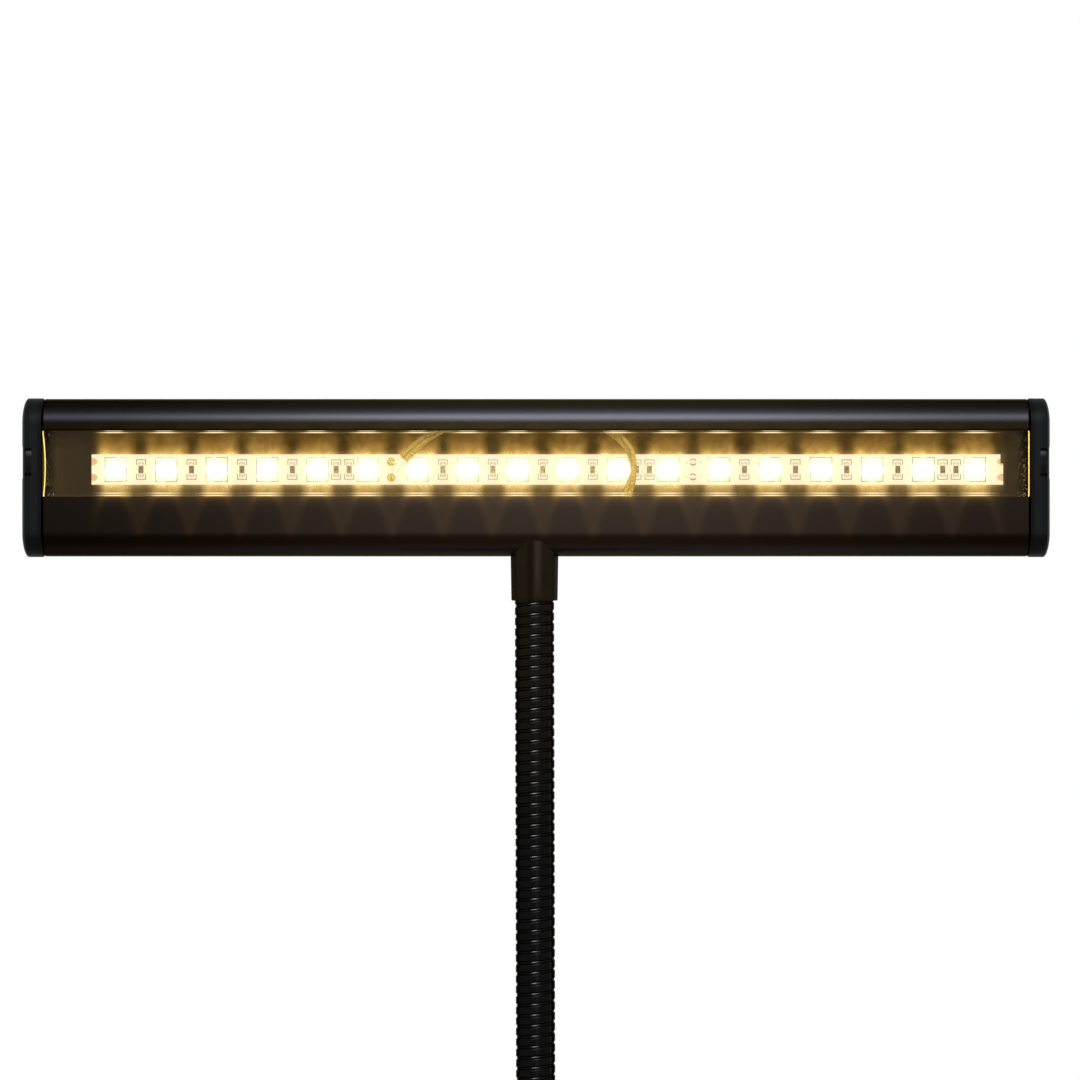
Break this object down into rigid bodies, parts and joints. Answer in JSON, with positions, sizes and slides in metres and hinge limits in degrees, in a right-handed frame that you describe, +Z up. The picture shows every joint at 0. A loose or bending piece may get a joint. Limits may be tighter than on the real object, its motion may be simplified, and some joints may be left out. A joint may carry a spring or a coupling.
{
  "type": "piano lamp",
  "caption": "Bar light with a clear front cover and push-in end caps, on a wound gooseneck that stands in a round weighted base with a rocker switch.",
  "frame": {"origin": "on the table under the middle of the round base", "axes": "+Z up; the light bar lies along X and its lit face looks towards -Y"},
  "size_m": [0.3388, 0.125, 0.313],
  "materials": {
    "black_anodised": "black anodised, satin",
    "clear_cover": "clear, polished",
    "black_plastic": "moulded, fine grain",
    "tape": "acrylic tape",
    "strip_board": "white solder mask",
    "led_case": "white moulded",
    "phosphor": "phosphor gel",
    "resistor": "chip body",
    "copper": "tinned copper",
    "solder": "bright solder",
    "lead_sheath": "clear insulation over copper",
    "socket_plastic": "moulded, glossy",
    "zinc_steel": "zinc plated",
    "neck_steel": "black, satin",
    "black_sheath": "sheathed lead",
    "cast_black": "black powder coat",
    "pad_foam": "dense foam",
    "black_steel": "black satin",
    "switch_black": "moulded",
    "nickel": "nickel plated"
  },
  "bodies": {
    "base": {"base_casting": "cast_black", "base_plate": "zinc_steel", "base_pad": "pad_foam", "neck_collar": "black_steel", "collar_nut": "zinc_steel", "switch_housing": "switch_black", "switch_terminals": "nickel", "inlet_socket": "switch_black", "inlet_pin": "nickel", "inlet_nut": "zinc_steel", "inlet_terminals": "nickel", "neck_lead": "black_sheath", "neck_link_01": "neck_steel"},
    "neck_02": {"neck_link_02": "neck_steel"},
    "neck_03": {"neck_link_03": "neck_steel"},
    "neck_04": {"neck_link_04": "neck_steel"},
    "neck_05": {"neck_link_05": "neck_steel"},
    "neck_06": {"neck_link_06": "neck_steel"},
    "neck_07": {"neck_link_07": "neck_steel"},
    "neck_08": {"neck_link_08": "neck_steel"},
    "neck_09": {"neck_link_09": "neck_steel"},
    "neck_10": {"neck_link_10": "neck_steel"},
    "neck_11": {"neck_link_11": "neck_steel"},
    "head": {"head_housing": "black_anodised", "lens_cover": "clear_cover", "end_cap_left": "black_plastic", "end_cap_right": "black_plastic", "strip_adhesive": "tape", "led_strip": "strip_board", "led_packages": "led_case", "led_phosphors": "phosphor", "resistors": "resistor", "strip_pads": "copper", "solder_joints": "solder", "strip_lead": "lead_sheath", "neck_socket": "socket_plastic", "socket_nipple": "zinc_steel", "saddle_nut": "zinc_steel", "neck_link_12": "neck_steel"},
    "rocker": {"switch_rocker": "switch_black"}
  },
  "joints": [
    {"name": "neck_bend_01", "type": "hinge", "parent": "base", "child": "neck_02", "pos_m": [0, 0, 0.05535], "axis": [1, 0, 0], "range_deg": [-14, 14], "deforming": ["neck_lead"]},
    {"name": "neck_bend_02", "type": "hinge", "parent": "neck_02", "child": "neck_03", "pos_m": [0, 0, 0.0727], "axis": [0, 1, 0], "range_deg": [-14, 14], "deforming": ["neck_lead"]},
    {"name": "neck_bend_03", "type": "hinge", "parent": "neck_03", "child": "neck_04", "pos_m": [0, 0, 0.09005], "axis": [1, 0, 0], "range_deg": [-14, 14], "deforming": ["neck_lead"]},
    {"name": "neck_bend_04", "type": "hinge", "parent": "neck_04", "child": "neck_05", "pos_m": [0, 0, 0.1074], "axis": [0, 1, 0], "range_deg": [-14, 14], "deforming": ["neck_lead"]},
    {"name": "neck_bend_05", "type": "hinge", "parent": "neck_05", "child": "neck_06", "pos_m": [0, 0, 0.12475], "axis": [1, 0, 0], "range_deg": [-14, 14], "deforming": ["neck_lead"]},
    {"name": "neck_bend_06", "type": "hinge", "parent": "neck_06", "child": "neck_07", "pos_m": [0, 0, 0.1421], "axis": [0, 1, 0], "range_deg": [-14, 14], "deforming": ["neck_lead"]},
    {"name": "neck_bend_07", "type": "hinge", "parent": "neck_07", "child": "neck_08", "pos_m": [0, 0, 0.15945], "axis": [1, 0, 0], "range_deg": [-14, 14], "deforming": ["neck_lead"]},
    {"name": "neck_bend_08", "type": "hinge", "parent": "neck_08", "child": "neck_09", "pos_m": [0, 0, 0.1768], "axis": [0, 1, 0], "range_deg": [-14, 14], "deforming": ["neck_lead"]},
    {"name": "neck_bend_09", "type": "hinge", "parent": "neck_09", "child": "neck_10", "pos_m": [0, 0, 0.19415], "axis": [1, 0, 0], "range_deg": [-14, 14], "deforming": ["neck_lead"]},
    {"name": "neck_bend_10", "type": "hinge", "parent": "neck_10", "child": "neck_11", "pos_m": [0, 0, 0.2115], "axis": [0, 1, 0], "range_deg": [-14, 14], "deforming": ["neck_lead"]},
    {"name": "neck_bend_11", "type": "hinge", "parent": "neck_11", "child": "head", "pos_m": [0, 0, 0.22885], "axis": [1, 0, 0], "range_deg": [-14, 14], "deforming": ["neck_lead"]},
    {"name": "switch_press", "type": "hinge", "parent": "base", "child": "rocker", "pos_m": [0, -0.04, 0.024], "axis": [1, 0, 0], "range_deg": [0, 18]}
  ]
}
